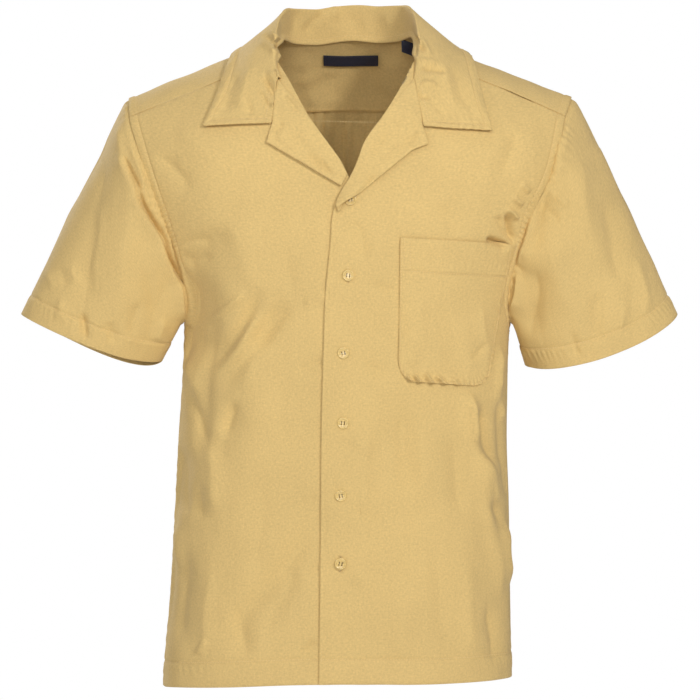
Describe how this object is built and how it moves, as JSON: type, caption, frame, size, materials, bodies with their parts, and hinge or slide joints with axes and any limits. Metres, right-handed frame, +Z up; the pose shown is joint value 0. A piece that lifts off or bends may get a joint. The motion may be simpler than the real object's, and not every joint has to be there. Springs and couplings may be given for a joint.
{
  "type": "camp shirt",
  "caption": "Short-sleeved button-front shirt with an open notched collar and a chest pocket, filled out as when worn.",
  "frame": {"origin": "inside the neck, a little below the height of the shoulder seams at the neck, where the wearer's shoulders carry the shirt", "axes": "+Z up, -Y out of the shirt's front, +X towards the wearer's left side"},
  "size_m": [0.7835, 0.2638, 0.8216],
  "materials": {
    "shirt_cloth": "tan-gold cotton-blend poplin, fine plain weave, matt",
    "button": "pearly cream-gold resin",
    "label_cloth": "very dark woven satin, bare"
  },
  "bodies": {
    "root": {"front_left": "shirt_cloth", "front_right": "shirt_cloth", "back": "shirt_cloth", "yoke": "shirt_cloth", "sleeve_left": "shirt_cloth", "sleeve_right": "shirt_cloth", "collar": "shirt_cloth", "lapel_left": "shirt_cloth", "lapel_right": "shirt_cloth", "pocket": "shirt_cloth", "button_1": "button", "button_2": "button", "button_3": "button", "button_4": "button", "button_5": "button", "button_6": "button", "neck_label": "label_cloth", "size_tab": "label_cloth"}
  },
  "joints": []
}
